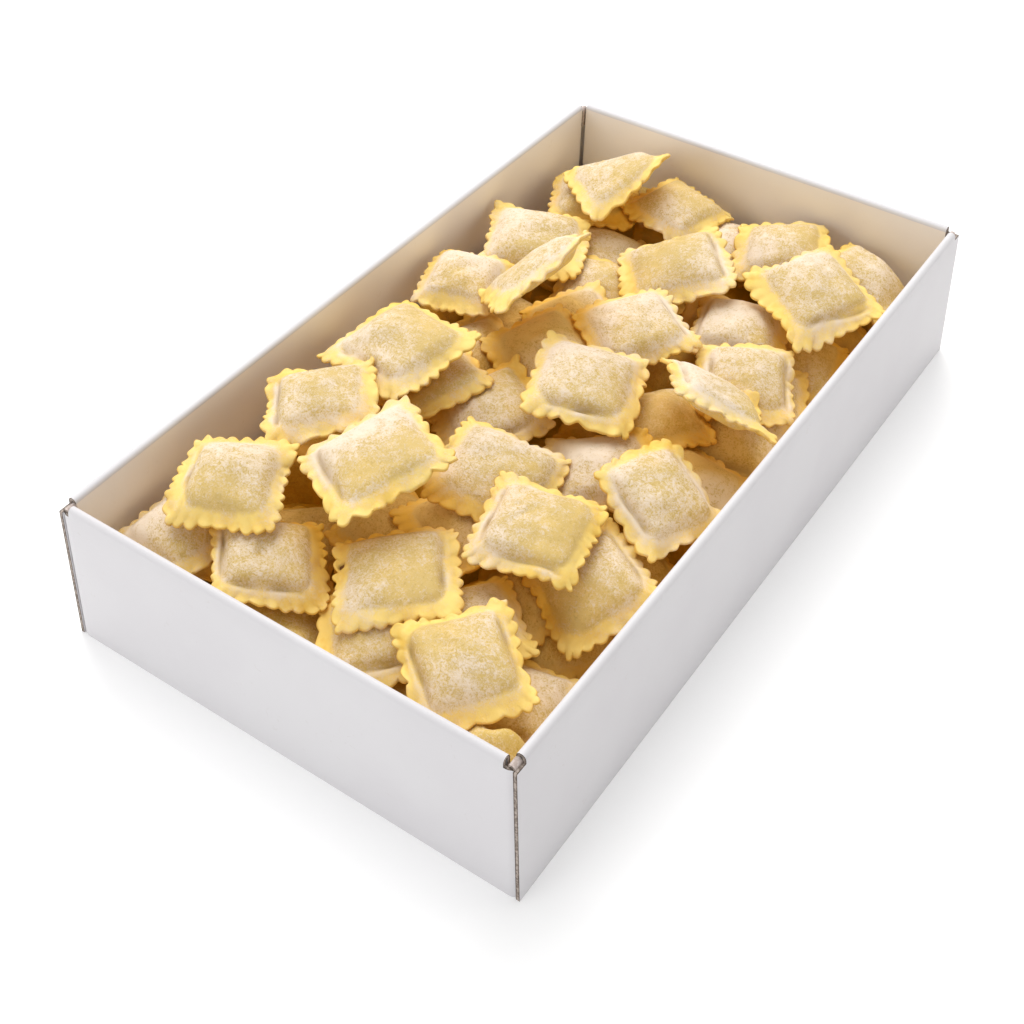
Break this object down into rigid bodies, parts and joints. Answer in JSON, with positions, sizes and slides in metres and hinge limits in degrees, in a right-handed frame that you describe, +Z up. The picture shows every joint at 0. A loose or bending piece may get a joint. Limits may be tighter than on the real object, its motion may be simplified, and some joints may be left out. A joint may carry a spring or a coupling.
{
  "type": "ravioli in a carton",
  "caption": "Fresh square ravioli with zigzag rims, heaped loose and floured in an open folded white card carton.",
  "frame": {"origin": "middle of the carton's flat base", "axes": "+X across the carton, +Y along its long side, +Z up out of its open top"},
  "size_m": [0.198, 0.34, 0.0892],
  "materials": {
    "white_card": "smooth white card, matt, with raw grey-brown cut ends at the corners",
    "egg_pasta": "fresh egg dough, matt, dusted with flour",
    "pasta_in_shade": "fresh egg dough, matt, in the shade of the heap"
  },
  "bodies": {
    "root": {"carton": "white_card", "heap_inside": "pasta_in_shade", "raviolo_01": "egg_pasta", "raviolo_02": "egg_pasta", "raviolo_03": "egg_pasta", "raviolo_04": "egg_pasta", "raviolo_05": "egg_pasta", "raviolo_06": "egg_pasta", "raviolo_07": "egg_pasta", "raviolo_08": "egg_pasta", "raviolo_09": "egg_pasta", "raviolo_10": "egg_pasta", "raviolo_11": "egg_pasta", "raviolo_12": "egg_pasta", "raviolo_13": "egg_pasta", "raviolo_14": "egg_pasta", "raviolo_15": "egg_pasta", "raviolo_16": "egg_pasta", "raviolo_17": "egg_pasta", "raviolo_18": "egg_pasta", "raviolo_19": "egg_pasta", "raviolo_20": "egg_pasta", "raviolo_21": "egg_pasta", "raviolo_22": "egg_pasta", "raviolo_23": "egg_pasta", "raviolo_24": "egg_pasta", "raviolo_25": "egg_pasta", "raviolo_26": "egg_pasta", "raviolo_27": "egg_pasta", "raviolo_28": "egg_pasta", "raviolo_29": "egg_pasta", "raviolo_30": "egg_pasta", "raviolo_31": "egg_pasta", "raviolo_32": "egg_pasta", "raviolo_33": "egg_pasta", "raviolo_34": "egg_pasta", "raviolo_35": "egg_pasta", "raviolo_36": "egg_pasta", "raviolo_37": "egg_pasta", "raviolo_38": "egg_pasta", "raviolo_39": "egg_pasta", "raviolo_40": "egg_pasta", "raviolo_41": "egg_pasta", "raviolo_42": "egg_pasta", "raviolo_43": "egg_pasta", "raviolo_44": "egg_pasta", "raviolo_45": "egg_pasta", "raviolo_46": "egg_pasta", "raviolo_47": "egg_pasta", "raviolo_48": "egg_pasta", "raviolo_49": "egg_pasta", "raviolo_50": "egg_pasta", "raviolo_51": "egg_pasta", "raviolo_52": "egg_pasta", "raviolo_53": "egg_pasta", "raviolo_54": "egg_pasta"}
  },
  "joints": []
}
